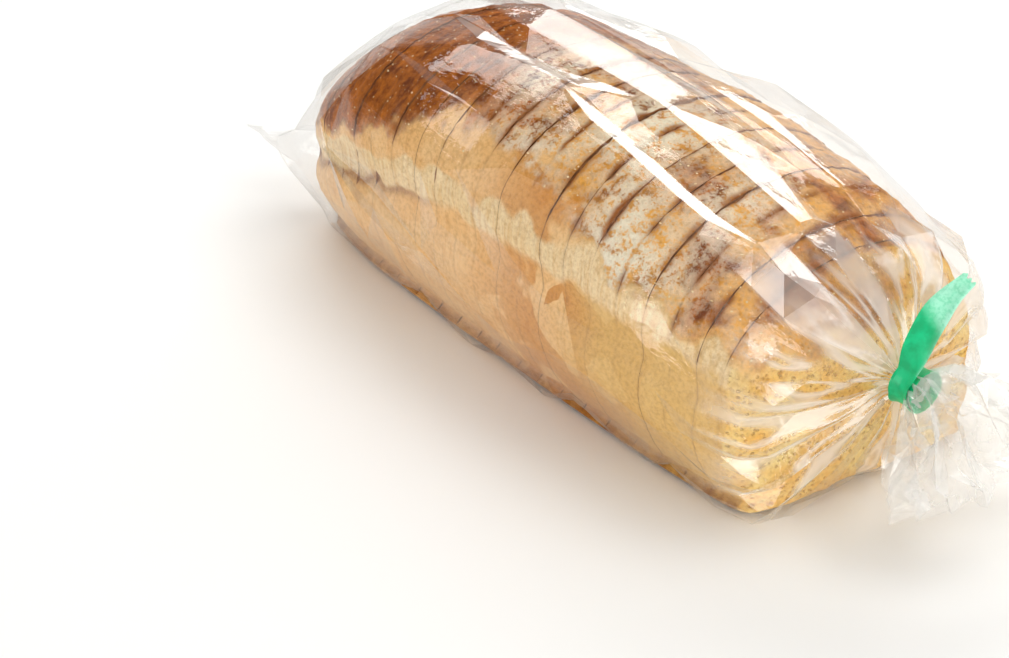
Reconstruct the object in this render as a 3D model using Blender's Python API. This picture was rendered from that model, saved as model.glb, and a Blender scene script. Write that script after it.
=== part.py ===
# Sliced loaf in a clear bread bag, closed with a wrapped tape tie.
# Metres, +Z up. X runs along the loaf, with the tied neck at +X and the welded end at -X.
# The bag is one closed solid out to its film; the tie is a tape wound round its neck.

import bpy
import bmesh
import math

# ---- driving dimensions, in metres ----
BAG_HALF_WIDTH = 0.0665
BAG_HEIGHT = 0.110
BASE_FRONT = -0.052
BASE_BACK = 0.054

FAR_END = -0.124
NEAR_END = 0.130
WELD_X = -0.142
WELD_HEIGHT = 0.024
WELD_HALF_WIDTH = 0.048
WELD_THICKNESS = 0.0022
EAR_LENGTH = 0.032

NECK_X = 0.150
NECK_LENGTH = 0.012
NECK_Y = -0.0035
NECK_Z = 0.0545
NECK_RADIUS = 0.005

FRILL_LENGTH = 0.047
FRILL_DROOP = math.radians(80)
FRILL_ROLL = math.radians(14)
FRILL_SIDESTEP = 0.014
FRILL_HALF_WIDTH = 0.035
FRILL_HALF_THICKNESS = 0.013
FRILL_PLEATS = 8
FRILL_PLEAT_DEPTH = 0.16

TAPE_WIDTH = 0.0090
TAPE_THICKNESS = 0.0008
TAPE_GAP = 0.0004
TAPE_PITCH = 0.0013
TAPE_TURN = math.radians(405)
TAIL_ANGLE = math.radians(139)
TAIL_LENGTH = 0.044
TAIL_SIDESTEP = 0.010
TAIL_CURL = math.radians(26)
TIP_WIDTH = 0.0055

RING_POINTS = 48
BODY_RINGS = 34
END_RINGS = 12
NECK_RINGS = 3
FRILL_RINGS = 14

# Corners of the film's outline round the widest slice, as (y, z), from the front of the base
# over the domed top to the back of the base. The base itself is flat.
OUTLINE = [
    (BASE_FRONT, 0.0),
    (-0.0600, 0.016),
    (-BAG_HALF_WIDTH, 0.038),
    (-0.0655, 0.062),
    (-0.0600, 0.084),
    (-0.0470, 0.099),
    (-0.0270, 0.1075),
    (0.0, BAG_HEIGHT),
    (0.0220, 0.1075),
    (0.0390, 0.101),
    (0.0525, 0.090),
    (0.0620, 0.076),
    (BAG_HALF_WIDTH, 0.058),
    (BAG_HALF_WIDTH, 0.034),
    (0.0615, 0.014),
    (BASE_BACK, 0.0),
]

# The loaf is lower and narrower towards its ends: (x, share of width, share of height).
TAPER = [
    (FAR_END, 0.83, 0.64),
    (-0.112, 0.89, 0.755),
    (-0.100, 0.93, 0.84),
    (-0.082, 0.965, 0.92),
    (-0.058, 0.985, 0.97),
    (-0.028, 1.0, 0.99),
    (0.040, 1.0, 1.0),
    (0.072, 0.995, 0.965),
    (0.094, 0.98, 0.92),
    (0.111, 0.95, 0.865),
    (0.123, 0.915, 0.81),
    (NEAR_END, 0.875, 0.765),
]


def removeAll():
    for item in list(bpy.data.objects):
        bpy.data.objects.remove(item, do_unlink=True)


def catmull(p0, p1, p2, p3, t):
    # one span of a smooth curve through its points
    out = []
    for a, b, c, d in zip(p0, p1, p2, p3):
        bend = (2 * a - 5 * b + 4 * c - d) * t ** 2 + (3 * b - a - 3 * c + d) * t ** 3
        out.append(0.5 * (2 * b + (c - a) * t + bend))
    return tuple(out)


def smoothOutline(points, perSpan=8):
    padded = [points[0]] + points + [points[-1]]
    line = []
    for i in range(1, len(padded) - 2):
        for k in range(perSpan):
            line.append(catmull(padded[i - 1], padded[i], padded[i + 1], padded[i + 2], k / perSpan))
    line.append(points[-1])
    return line


def spaceEvenly(line, count):
    # closed outline, walked from the middle of its flat base, in equal steps
    middle = (0.5 * (line[0][0] + line[-1][0]), 0.0)
    loop = [middle] + line + [middle]
    reach = [0.0]
    for a, b in zip(loop, loop[1:]):
        reach.append(reach[-1] + math.dist(a, b))
    ring = []
    k = 0
    for n in range(count):
        want = reach[-1] * n / count
        while reach[k + 1] < want:
            k += 1
        share = (want - reach[k]) / (reach[k + 1] - reach[k])
        a = loop[k]
        b = loop[k + 1]
        ring.append((a[0] + (b[0] - a[0]) * share, a[1] + (b[1] - a[1]) * share))
    return ring


def taperAt(x):
    for a, b in zip(TAPER, TAPER[1:]):
        if x <= b[0]:
            t = (x - a[0]) / (b[0] - a[0])
            return a[1] + (b[1] - a[1]) * t, a[2] + (b[2] - a[2]) * t
    return TAPER[-1][1], TAPER[-1][2]


def bodyRing(shape, x):
    wide, tall = taperAt(x)
    return [(x, y * wide, z * tall) for y, z in shape]


def mixRings(first, second, share):
    ring = []
    for a, b in zip(first, second):
        ring.append(tuple(p + (q - p) * share for p, q in zip(a, b)))
    return ring


def weldRing():
    # the flat weld line, with an ear standing out at each of its ends
    ring = []
    for n in range(RING_POINTS):
        turn = 2 * math.pi * n / RING_POINTS
        y = -WELD_HALF_WIDTH * math.sin(turn)
        z = WELD_HEIGHT - 0.5 * WELD_THICKNESS * math.cos(turn)
        ear = EAR_LENGTH * (abs(y) / WELD_HALF_WIDTH) ** 2.2
        ring.append((WELD_X - ear, y, z))
    return ring


def neckRing(x):
    ring = []
    for n in range(RING_POINTS):
        turn = 2 * math.pi * n / RING_POINTS
        ring.append((x, NECK_Y - NECK_RADIUS * math.sin(turn), NECK_Z - NECK_RADIUS * math.cos(turn)))
    return ring


def frillRings():
    # the gathered film beyond the tie opens into a pleated skirt that droops
    rings = []
    x = NECK_X + NECK_LENGTH
    z = NECK_Z
    step = FRILL_LENGTH / FRILL_RINGS
    for k in range(1, FRILL_RINGS + 1):
        s = k / FRILL_RINGS
        droop = FRILL_DROOP * math.sin(0.5 * math.pi * s) ** 0.8
        roll = FRILL_ROLL * s
        middle = NECK_Y + FRILL_SIDESTEP * s ** 2
        x += step * math.cos(droop)
        z -= step * math.sin(droop)
        halfWidth = NECK_RADIUS + (FRILL_HALF_WIDTH - NECK_RADIUS) * s ** 0.8
        halfThick = NECK_RADIUS + (FRILL_HALF_THICKNESS - NECK_RADIUS) * s
        ring = []
        for n in range(RING_POINTS):
            turn = 2 * math.pi * n / RING_POINTS
            pleat = 1 - FRILL_PLEAT_DEPTH * s * (0.5 - 0.5 * math.cos(FRILL_PLEATS * turn))
            across = -halfWidth * math.sin(turn) * pleat
            down = halfThick * math.cos(turn) * pleat
            lift = -across * math.sin(roll)
            ring.append((x - down * math.sin(droop), middle + across, z + lift - down * math.cos(droop)))
        rings.append(ring)
    return rings


def bagRings():
    shape = spaceEvenly(smoothOutline(OUTLINE), RING_POINTS)
    farRing = bodyRing(shape, FAR_END)
    nearRing = bodyRing(shape, NEAR_END)
    rings = []
    for k in range(END_RINGS):
        share = 1 - k / END_RINGS
        flat = share ** 1.4
        ring = mixRings(farRing, weldRing(), flat)
        pull = (share ** 0.75 - flat) * (WELD_X - FAR_END)
        rings.append([(px + pull, py, pz) for px, py, pz in ring])
    for k in range(BODY_RINGS + 1):
        rings.append(bodyRing(shape, FAR_END + (NEAR_END - FAR_END) * k / BODY_RINGS))
    for k in range(1, END_RINGS + 1):
        share = k / END_RINGS
        ring = mixRings(nearRing, neckRing(NEAR_END), share)
        push = (NECK_X - NEAR_END) * share ** 0.42
        rings.append([(px + push, py, pz) for px, py, pz in ring])
    for k in range(1, NECK_RINGS + 1):
        rings.append(neckRing(NECK_X + NECK_LENGTH * k / NECK_RINGS))
    return rings + frillRings()


def loft(name, rings, collection, material):
    mesh = bpy.data.meshes.new(name)
    form = bmesh.new()
    rows = [[form.verts.new(point) for point in ring] for ring in rings]
    for low, high in zip(rows, rows[1:]):
        for n in range(len(low)):
            m = (n + 1) % len(low)
            form.faces.new((low[n], low[m], high[m], high[n]))
    form.faces.new(rows[0])
    form.faces.new(list(reversed(rows[-1])))
    bmesh.ops.recalc_face_normals(form, faces=form.faces)
    bmesh.ops.triangulate(form, faces=form.faces)
    form.to_mesh(mesh)
    form.free()
    mesh.materials.append(material)
    mesh.shade_smooth()
    mesh.set_sharp_from_angle(angle=math.radians(40))
    part = bpy.data.objects.new(name, mesh)
    collection.objects.link(part)
    return part


def tapeRings():
    # the tape's middle line: wound round the neck, each turn clear of the last, then off
    # on its tangent as a free tail that curls back a little; each ring is its cross-section
    rings = []
    middleX = NECK_X + 0.5 * NECK_LENGTH
    inner = NECK_RADIUS + TAPE_GAP + 0.5 * TAPE_THICKNESS
    wound = 64
    for k in range(wound + 1):
        share = k / wound
        angle = TAIL_ANGLE + TAPE_TURN * (1 - share)
        radius = inner + TAPE_PITCH * TAPE_TURN / (2 * math.pi) * share
        outward = (math.cos(angle), math.sin(angle))
        point = (NECK_Y + radius * outward[0], NECK_Z + radius * outward[1])
        rings.append(tapeSection(middleX, point, outward, TAPE_WIDTH))
    free = 22
    for k in range(1, free + 1):
        share = k / free
        angle = TAIL_ANGLE + TAIL_CURL * math.sin(math.pi * share) * share
        ahead = (math.sin(angle), -math.cos(angle))
        outward = (-ahead[1], ahead[0])
        point = (point[0] + ahead[0] * TAIL_LENGTH / free, point[1] + ahead[1] * TAIL_LENGTH / free)
        width = TAPE_WIDTH + (TIP_WIDTH - TAPE_WIDTH) * share ** 3
        rings.append(tapeSection(middleX + TAIL_SIDESTEP * share ** 2, point, outward, width))
    return rings


def tapeSection(x, point, outward, width):
    corners = []
    for side, face in ((-1, -1), (1, -1), (1, 1), (-1, 1)):
        y = point[0] + 0.5 * face * TAPE_THICKNESS * outward[0]
        z = point[1] + 0.5 * face * TAPE_THICKNESS * outward[1]
        corners.append((x + 0.5 * side * width, y, z))
    return corners


def makeMaterial(name, colour, roughness, alpha=1.0):
    material = bpy.data.materials.new(name)
    material.use_nodes = True
    surface = material.node_tree.nodes["Principled BSDF"]
    surface.inputs["Base Color"].default_value = (*colour, 1.0)
    surface.inputs["Roughness"].default_value = roughness
    surface.inputs["Metallic"].default_value = 0.0
    surface.inputs["Alpha"].default_value = alpha
    return material


def centreOverBase(parts):
    # the origin is the bottom centre of the whole object's box
    corners = [vertex.co for part in parts for vertex in part.data.vertices]
    low = [min(corner[axis] for corner in corners) for axis in range(3)]
    high = [max(corner[axis] for corner in corners) for axis in range(3)]
    shift = (-0.5 * (low[0] + high[0]), -0.5 * (low[1] + high[1]), -low[2])
    for part in parts:
        for vertex in part.data.vertices:
            vertex.co = [value + move for value, move in zip(vertex.co, shift)]
        part.data.update()


removeAll()
loafInBag = bpy.data.collections.new("loaf_in_bread_bag")
bpy.context.scene.collection.children.link(loafInBag)
film = makeMaterial("film", (0.80, 0.62, 0.40), 0.15, 0.6)
tape = makeMaterial("tape", (0.0, 0.52, 0.28), 0.3)
bag = loft("bag", bagRings(), loafInBag, film)
tie = loft("tie", tapeRings(), loafInBag, tape)
centreOverBase([bag, tie])
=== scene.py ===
import math
import random
import bmesh
import bpy
import numpy as np
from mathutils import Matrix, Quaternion, Vector, noise
from mathutils.geometry import delaunay_2d_cdt


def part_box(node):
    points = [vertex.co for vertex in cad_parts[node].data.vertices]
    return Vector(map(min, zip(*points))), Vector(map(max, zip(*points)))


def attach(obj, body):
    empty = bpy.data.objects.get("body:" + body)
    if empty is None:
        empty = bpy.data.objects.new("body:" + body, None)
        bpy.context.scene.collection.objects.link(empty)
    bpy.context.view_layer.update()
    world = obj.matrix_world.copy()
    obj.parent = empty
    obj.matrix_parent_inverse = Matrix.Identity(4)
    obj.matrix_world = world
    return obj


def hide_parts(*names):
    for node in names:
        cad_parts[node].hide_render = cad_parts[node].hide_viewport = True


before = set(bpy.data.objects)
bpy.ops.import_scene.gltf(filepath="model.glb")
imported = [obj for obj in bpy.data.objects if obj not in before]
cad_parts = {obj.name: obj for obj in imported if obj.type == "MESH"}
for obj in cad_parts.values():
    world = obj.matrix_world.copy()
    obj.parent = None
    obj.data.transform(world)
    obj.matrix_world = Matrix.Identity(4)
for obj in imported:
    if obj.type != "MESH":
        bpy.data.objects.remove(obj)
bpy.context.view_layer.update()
bagLow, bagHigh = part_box("bag")

# The loaf is laid out from its own middle on the table: x along the loaf, front side at -y
loafOrigin = np.array((bagLow[0] + 0.174, (bagLow[1] + bagHigh[1]) / 2 - 0.0001, bagLow[2]))


def tint(red, green, blue):
    # screen colour to the linear colour a shader wants
    steps = [channel / 255 for channel in (red, green, blue)]
    return tuple(((step + 0.055) / 1.055) ** 2.4 if step > 0.04 else step / 12.92 for step in steps) + (1,)


def smoothStep(low, high, value):
    share = np.clip((value - low) / (high - low), 0, 1)
    return share * share * (3 - 2 * share)


def closedCurve(points, count):
    # smooth closed outline through the points, with evenly spaced samples
    here = np.array(points, float)
    before, after, later = np.roll(here, 1, 0), np.roll(here, -1, 0), np.roll(here, -2, 0)
    pieces = []
    for share in np.linspace(0, 1, 20, endpoint=False):
        cubic = -before + 3 * here - 3 * after + later
        square = 2 * before - 5 * here + 4 * after - later
        pieces.append(here + 0.5 * share * (after - before + share * (square + share * cubic)))
    fine = np.stack(pieces, 1).reshape(-1, 2)
    fine = np.vstack((fine, fine[:1]))
    length = np.concatenate(([0], np.cumsum(np.linalg.norm(np.diff(fine, axis=0), axis=1))))
    wanted = np.linspace(0, length[-1], count, endpoint=False)
    return np.stack([np.interp(wanted, length, fine[:, axis]) for axis in (0, 1)], 1)


def noiseAt(points, size, seed):
    # one noise value for each point, with features about this size
    shift = Vector((seed, -seed, 2 * seed))
    return np.array([noise.noise(Vector(point) / size + shift) for point in points])


def makePiece(name, points, faces, materials, smooth=True):
    mesh = bpy.data.meshes.new(name)
    mesh.from_pydata([tuple(point) for point in points], [], faces)
    for material in materials:
        mesh.materials.append(material)
    if smooth:
        mesh.shade_smooth()
    mesh.update()
    piece = bpy.data.objects.new(name, mesh)
    bpy.context.scene.collection.objects.link(piece)
    return piece


def addMask(piece, name, values):
    mask = piece.data.attributes.new(name, "FLOAT", "POINT")
    mask.data.foreach_set("value", np.asarray(values, np.float32))


class Shading:
    # a material with short calls for the nodes it is built from

    def __init__(self, name):
        self.material = bpy.data.materials.new(name)
        self.material.use_nodes = True
        self.tree = self.material.node_tree
        self.tree.nodes.clear()
        self.output = self.add("ShaderNodeOutputMaterial")
        self.place = self.add("ShaderNodeTexCoord").outputs["Object"]

    def add(self, kind, **settings):
        made = self.tree.nodes.new(kind)
        for key, value in settings.items():
            setattr(made, key, value)
        return made

    def feed(self, socket, value):
        if isinstance(value, bpy.types.NodeSocket):
            self.tree.links.new(value, socket)
        else:
            socket.default_value = value

    def mask(self, name):
        return self.add("ShaderNodeAttribute", attribute_name=name).outputs["Fac"]

    def grain(self, size, detail=4, rough=0.55, stretch=(1, 1, 1), warp=0.0):
        # noise with features about this size in metres
        moved = self.add("ShaderNodeMapping")
        self.feed(moved.inputs["Vector"], self.place)
        moved.inputs["Scale"].default_value = stretch
        made = self.add("ShaderNodeTexNoise")
        self.feed(made.inputs["Vector"], moved.outputs[0])
        made.inputs["Scale"].default_value = 1 / size
        made.inputs["Detail"].default_value = detail
        made.inputs["Roughness"].default_value = rough
        made.inputs["Distortion"].default_value = warp
        return made.outputs["Fac"]

    def cells(self, size, feature="F1", stretch=(1, 1, 1)):
        moved = self.add("ShaderNodeMapping")
        self.feed(moved.inputs["Vector"], self.place)
        moved.inputs["Scale"].default_value = stretch
        made = self.add("ShaderNodeTexVoronoi", feature=feature)
        self.feed(made.inputs["Vector"], moved.outputs[0])
        made.inputs["Scale"].default_value = 1 / size
        return made.outputs["Distance"]

    def patchValue(self, size, stretch):
        # one value for each straight-edged patch of about this size
        moved = self.add("ShaderNodeMapping")
        self.feed(moved.inputs["Vector"], self.place)
        moved.inputs["Scale"].default_value = stretch
        made = self.add("ShaderNodeTexVoronoi")
        self.feed(made.inputs["Vector"], moved.outputs[0])
        made.inputs["Scale"].default_value = 1 / size
        split = self.add("ShaderNodeSeparateColor")
        self.feed(split.inputs[0], made.outputs["Color"])
        return split.outputs[0]

    def spread(self, value, low, high, least=0.0, most=1.0):
        made = self.add("ShaderNodeMapRange", interpolation_type="SMOOTHSTEP")
        self.feed(made.inputs["Value"], value)
        made.inputs["From Min"].default_value = low
        made.inputs["From Max"].default_value = high
        made.inputs["To Min"].default_value = least
        made.inputs["To Max"].default_value = most
        return made.outputs["Result"]

    def maths(self, operation, first, second):
        made = self.add("ShaderNodeMath", operation=operation)
        self.feed(made.inputs[0], first)
        self.feed(made.inputs[1], second)
        return made.outputs[0]

    def times(self, first, second):
        return self.maths("MULTIPLY", first, second)

    def plus(self, first, second):
        return self.maths("ADD", first, second)

    def mix(self, share, first, second, blend="MIX"):
        made = self.add("ShaderNodeMix", data_type="RGBA", blend_type=blend)
        self.feed(made.inputs[0], share)
        self.feed(made.inputs[6], first)
        self.feed(made.inputs[7], second)
        return made.outputs[2]

    def bump(self, height, distance, strength=1.0, under=None):
        made = self.add("ShaderNodeBump")
        self.feed(made.inputs["Height"], height)
        made.inputs["Distance"].default_value = distance
        made.inputs["Strength"].default_value = strength
        if under:
            self.feed(made.inputs["Normal"], under)
        return made.outputs["Normal"]


crust = {
    "sideTan": tint(244, 194, 128),
    "sideRose": tint(248, 204, 144),
    "sideGold": tint(222, 158, 80),
    # painted shade: deeper gold where the film lies on the crust, in place of the film's missing glare
    "clingShadeGold": tint(212, 136, 34),
    "nearCream": tint(230, 188, 106),
    "shredPale": tint(255, 228, 180),
    "shredTear": tint(242, 204, 144),
    "domeDark": tint(116, 54, 6),
    "domeBrown": tint(196, 112, 28),
    "domeGold": tint(238, 174, 82),
    "flour": tint(250, 240, 216),
    "heelPale": tint(255, 224, 146),
    "heelGold": tint(250, 192, 90),
    "heelPit": tint(222, 148, 58),
    # partly crust seen edge-on, partly painted shade in the cracks between slices
    "cutEdgeAndCrackShade": tint(158, 92, 32),
    "baseEdge": tint(150, 96, 44),
    "grain": (0.62, 0.50, 0.36, 1),
    "speck": tint(244, 214, 164),
    "roughness": (0.60, 0.86),
    "shine": 0.15,
}


def makeCrust():
    look = Shading("bakedCrust")
    dome, shred, flour, heel = (look.mask(name) for name in ("dome", "shred", "flour", "heel"))
    rim, foot, dark, near, clingShadeZone = (look.mask(name) for name in ("rim", "foot", "dark", "near", "clingShadeZone"))
    broad = look.grain(0.016, 3)
    medium = look.grain(0.005, 5, 0.6)
    fine = look.grain(0.0016, 5, 0.7)
    streak = look.grain(0.004, 4, 0.6, (1.6, 1.0, 0.22))  # fine lines that run up the side
    tear = look.grain(0.0028, 5, 0.62, (1.5, 1.0, 0.16), 0.4)

    # tan sides with a paler near end, and painted shade: deeper golden patches where the film clings,
    # standing in for the film's glare missing there
    side = look.mix(look.spread(broad, 0.38, 0.62), crust["sideTan"], crust["sideRose"])
    side = look.mix(look.spread(streak, 0.5, 0.72, 0, 0.4), side, crust["sideGold"])
    shadeSmear = look.spread(look.grain(0.024, 2, 0.5, (1.0, 1.0, 0.6), 0.6), 0.50, 0.55)
    shadePatches = look.spread(look.patchValue(0.020, (0.8, 1.0, 0.6)), 0.52, 0.60)
    clingShade = look.maths("MAXIMUM", look.times(shadeSmear, 0.75), look.times(shadePatches, 0.85))
    side = look.mix(look.times(clingShade, clingShadeZone), side, crust["clingShadeGold"])
    side = look.mix(look.times(near, 0.8), side, crust["nearCream"])
    side = look.mix(look.times(foot, look.spread(medium, 0.3, 0.6, 0.5, 1)), side, crust["baseEdge"])

    # the torn band between the side and the dome
    torn = look.mix(look.spread(tear, 0.3, 0.62), crust["shredTear"], crust["shredPale"])
    colour = look.mix(look.spread(look.plus(shred, look.times(streak, 0.5)), 0.35, 1.1), side, torn)

    # the dome: dark to golden, with pores and a dusting of flour
    band = look.grain(0.006, 4, 0.6, (1.4, 0.25, 0.25), 0.3)
    baking = look.plus(look.times(medium, 0.45), look.times(band, 0.55))
    baked = look.mix(look.spread(baking, 0.36, 0.62), crust["domeDark"], crust["domeBrown"])
    golden = look.spread(look.plus(broad, look.times(dark, -0.35)), 0.35, 0.6)
    baked = look.mix(golden, baked, crust["domeGold"])
    pores = look.spread(look.cells(0.0022), 0.05, 0.5, 0.7, 1)
    baked = look.mix(look.maths("SUBTRACT", 1, pores), baked, crust["domeDark"])
    dusting = look.spread(look.plus(fine, look.times(medium, 0.9)), 0.78, 1.02)
    baked = look.mix(look.times(flour, dusting), baked, crust["flour"])
    edgeNoise = look.plus(dome, look.times(look.maths("SUBTRACT", medium, 0.5), 0.9))
    colour = look.mix(look.spread(edgeNoise, 0.25, 0.8), colour, baked)

    # the near heel: pale gold with small pits
    face = look.mix(look.spread(broad, 0.3, 0.7), crust["heelGold"], crust["heelPale"])
    pits = look.spread(look.cells(0.0019, stretch=(0.6, 1, 1)), 0.1, 0.42, 1, 0)
    pitted = look.times(pits, look.spread(medium, 0.35, 0.65, 0.05, 0.65))
    colour = look.mix(heel, colour, look.mix(pitted, face, crust["heelPit"]))

    # darker cut edges, partly the crust seen edge-on and partly painted shade in the cracks between slices;
    # fine grain all over, pale specks on the dome
    edge = look.times(rim, look.spread(medium, 0.25, 0.55, 0.55, 1))
    colour = look.mix(edge, colour, crust["cutEdgeAndCrackShade"])
    colour = look.mix(look.spread(fine, 0.42, 0.66, 0, 0.46), colour, crust["grain"], "MULTIPLY")
    speck = look.spread(look.cells(0.0026), 0.04, 0.15, 1, 0)
    speck = look.times(speck, look.spread(broad, 0.35, 0.6, 0.05, 0.4))
    colour = look.mix(look.times(speck, dome), colour, crust["speck"])

    relief = look.bump(fine, 0.0006)
    relief = look.bump(look.times(tear, look.plus(shred, 0.15)), 0.0011, 1, relief)
    relief = look.bump(look.times(pits, heel), -0.0007, 1, relief)
    relief = look.bump(medium, 0.0010, 1, relief)
    shader = look.add("ShaderNodeBsdfPrincipled")
    look.feed(shader.inputs["Base Color"], colour)
    look.feed(shader.inputs["Roughness"], look.spread(fine, 0.3, 0.7, *crust["roughness"]))
    look.feed(shader.inputs["Normal"], relief)
    shader.inputs["Specular IOR Level"].default_value = crust["shine"]
    look.feed(look.output.inputs["Surface"], shader.outputs[0])
    return look.material


crumb = {
    "cream": tint(242, 226, 188),
    "shade": tint(226, 200, 150),
    "underCrust": tint(150, 92, 40),
}


def makeCrumb():
    look = Shading("breadCrumb")
    depth = look.mask("depth")
    pores = look.cells(0.0018)
    soft = look.grain(0.004, 4)
    colour = look.mix(look.spread(soft, 0.35, 0.65), crumb["shade"], crumb["cream"])
    colour = look.mix(look.spread(depth, 0.0, 0.0045, 1, 0), colour, crumb["underCrust"])
    shader = look.add("ShaderNodeBsdfPrincipled")
    look.feed(shader.inputs["Base Color"], colour)
    look.feed(shader.inputs["Roughness"], look.spread(soft, 0.3, 0.7, 0.8, 0.95))
    look.feed(shader.inputs["Normal"], look.bump(pores, 0.0008))
    look.feed(look.output.inputs["Surface"], shader.outputs[0])
    return look.material


loaf = {
    "section": [(-44, 0), (-50, 5), (-56, 15), (-61, 28), (-63, 38), (-62.5, 47), (-61, 54), (-61.5, 61),
                (-62.5, 68), (-61.5, 76), (-58, 84), (-51, 92), (-42, 98.3), (-31, 102.8), (-19, 105.3),
                (-6, 106), (7, 105), (20, 102), (32, 97.5), (43, 91), (52, 83), (58.5, 73), (61, 63),
                (60.5, 54), (60, 46), (61.5, 36), (61.5, 24), (58, 10), (52, 0)],  # mm
    # place along the loaf, width share, height share
    "taper": [(-0.133, 0.76, 0.54), (-0.124, 0.80, 0.63), (-0.112, 0.865, 0.745), (-0.100, 0.92, 0.835),
              (-0.082, 0.965, 0.92), (-0.058, 0.985, 0.97), (-0.028, 1, 0.99), (0.010, 1, 1), (0.040, 1, 1),
              (0.072, 0.985, 0.965), (0.094, 0.965, 0.92), (0.111, 0.935, 0.865), (0.123, 0.90, 0.81),
              (0.139, 0.85, 0.76)],
    "lift": 0.0008,
    "farEnd": -0.130, "nearEnd": 0.137,
    "farCut": -0.116, "nearCut": 0.120,
    "middleSlices": 19,
    "endRadius": 0.021, "endInset": 0.30, "faceBulge": 0.003, "nearSkew": 0.14, "farLean": 0.14,
    "around": 420, "across": 13,
    "gap": 0.00003, "lean": 0.0002, "sway": 0.00007,
    "curlWidth": 0.0009, "curlDepth": 0.0005,  # how the crust curls in at a cut over the dome
    # darker rim at each cut, partly painted shade in the crack: its width, and its strength on the side and
    # on the dome
    "rimWidth": 0.0006, "sideRimAndShade": 0.13, "domeRimAndShade": 0.85,
    "grooveDepth": 0.0011, "grooveHalf": 0.0022,
    "seed": 4,
}
loafSection = closedCurve(loaf["section"], loaf["around"]) / 1000
loafSection[:, 1] = np.maximum(loafSection[:, 1], 0)
loafPole = np.array((0.0, 0.047))
endPole = np.array((0.0, 0.020))

# where the torn band starts and where the dome crust starts, up the side of the loaf
tearLine = ((-0.112, 0.036), (-0.095, 0.042), (-0.060, 0.052), (-0.026, 0.062), (0.060, 0.064),
            (0.110, 0.062), (0.130, 0.056))
domeLine = ((-0.120, 0.050), (-0.095, 0.058), (-0.075, 0.068), (-0.055, 0.080), (-0.040, 0.087),
            (0.006, 0.094), (0.034, 0.089), (0.055, 0.079), (0.075, 0.073), (0.105, 0.069), (0.130, 0.066))


def alongTable(table, x, column=1):
    rows = np.array(table)
    return np.interp(x, rows[:, 0], rows[:, column])


def loafRing(x, shrink=1.0, pole=loafPole):
    # one ring of the loaf's outside at this place along it
    scale = np.array((alongTable(loaf["taper"], x), alongTable(loaf["taper"], x, 2)))
    return (pole + (loafSection - pole) * shrink) * scale


def sliceRings(first, last, farHeel, nearHeel):
    # rings from one cut face to the other: (x, shrink, kind, depth under the crust)
    half = loaf["gap"] / 2
    inner = [(0.02, 0.05), (0.5, 0.03), (0.86, 0.009), (0.94, 0.004), (0.972, 0.0018), (0.99, 0.0006)]
    radius, inset, bulge = loaf["endRadius"], loaf["endInset"], loaf["faceBulge"]
    turns = np.linspace(0, math.pi / 2, 14)
    rim = [(radius * (1 - math.cos(turn)), 1 - inset * (1 - math.sin(turn))) for turn in turns]
    face = [(-bulge * (1 - share ** 2), (1 - inset) * share) for share in np.linspace(0.02, 0.96, 14)]
    rings = []
    if farHeel:
        rings += [(loaf["farEnd"] + along, shrink, "end", 0) for along, shrink in face + rim
                  if loaf["farEnd"] + along < last - half - 0.0015]
        first = rings[-1][0]
    else:
        rings += [(first + half + 0.0002 * (shrink < 1), shrink, "face", depth) for shrink, depth in inner]
        first += half
    end = last - half
    if nearHeel:
        outer = [(loaf["nearEnd"] - along, shrink, "end", 0) for along, shrink in reversed(face + rim)
                 if loaf["nearEnd"] - along > first + 0.0015]
        end = outer[0][0] - 0.0008
    count = loaf["across"] if not (farHeel or nearHeel) else 4
    lastShrink = rings[-1][1] if farHeel else 1.0
    for k in range(1 if farHeel else 0, count + 1):
        share = k / count
        shrink = lastShrink + (1 - lastShrink) * share
        if nearHeel:
            shrink = 1 + (outer[0][1] - 1) * share
        rings.append((first + (end - first) * share, shrink, "wall", 0))
    if nearHeel:
        rings += outer
    else:
        rings += [(end - 0.0002, shrink, "face", depth) for shrink, depth in reversed(inner)]
    return rings


def sectionOutward():
    # outward direction at each point of the section, for moving the crust in and out
    tangent = np.roll(loafSection, -1, 0) - np.roll(loafSection, 1, 0)
    outward = np.column_stack((-tangent[:, 1], tangent[:, 0]))
    outward /= np.linalg.norm(outward, axis=1, keepdims=True)
    return outward * np.sign((outward * (loafSection - loafPole)).sum(1).mean())


def crustMasks(points, kinds, grains):
    # how much of each kind of crust there is at each point
    x, y, z = points.T
    ragged, small, broad, streaks = grains
    crusty = (kinds != "face").astype(float)
    domeAt = alongTable(domeLine, x) - np.where(y < 0, 0, 0.006)
    dome = smoothStep(-0.008, 0.008, z - domeAt + 0.008 * ragged + 0.003 * small)
    overTear = z - alongTable(tearLine, x) + 0.003 * ragged + 0.0009 * streaks
    shred = smoothStep(-0.0045, 0.0045, overTear) * (1 - dome)
    shred *= 1 - smoothStep(0.010, 0.016, overTear + 0.004 * ragged) * smoothStep(0.07, 0.03, x)
    shoulder = smoothStep(0.010, 0.016, overTear) * (1 - dome)
    nearEnd = smoothStep(0.118, 0.131, x) * crusty
    topCrust = smoothStep(0.058, 0.072, z + 0.008 * ragged) * (1 - 0.7 * smoothStep(-0.02, 0.03, y))
    flour = dome * smoothStep(-0.045, -0.005, x) * (1 - 0.75 * smoothStep(-0.005, 0.03, y + 0.03 * broad))
    flour *= 1 - 0.75 * smoothStep(0.080, 0.110, x + 0.02 * broad)
    return {
        "dome": dome,
        "shred": shred,
        "flour": np.clip(flour * (0.8 + 0.8 * broad), 0, 1) + 0.45 * shoulder,
        "heel": np.where(kinds == "end", 1.0, nearEnd) * (x > 0) * (1 - topCrust),
        "foot": smoothStep(0.006, 0.0005, z),
        "dark": smoothStep(0.02, -0.07, x) * dome,
        "near": smoothStep(0.015, 0.085, x + 0.03 * broad),
        # painted shade: the stretch along the loaf where deeper golden cling patches, standing in for the
        # film's missing glare, may show
        "clingShadeZone": smoothStep(-0.015, 0.03, x) * smoothStep(0.115, 0.07, x),
    }


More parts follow.
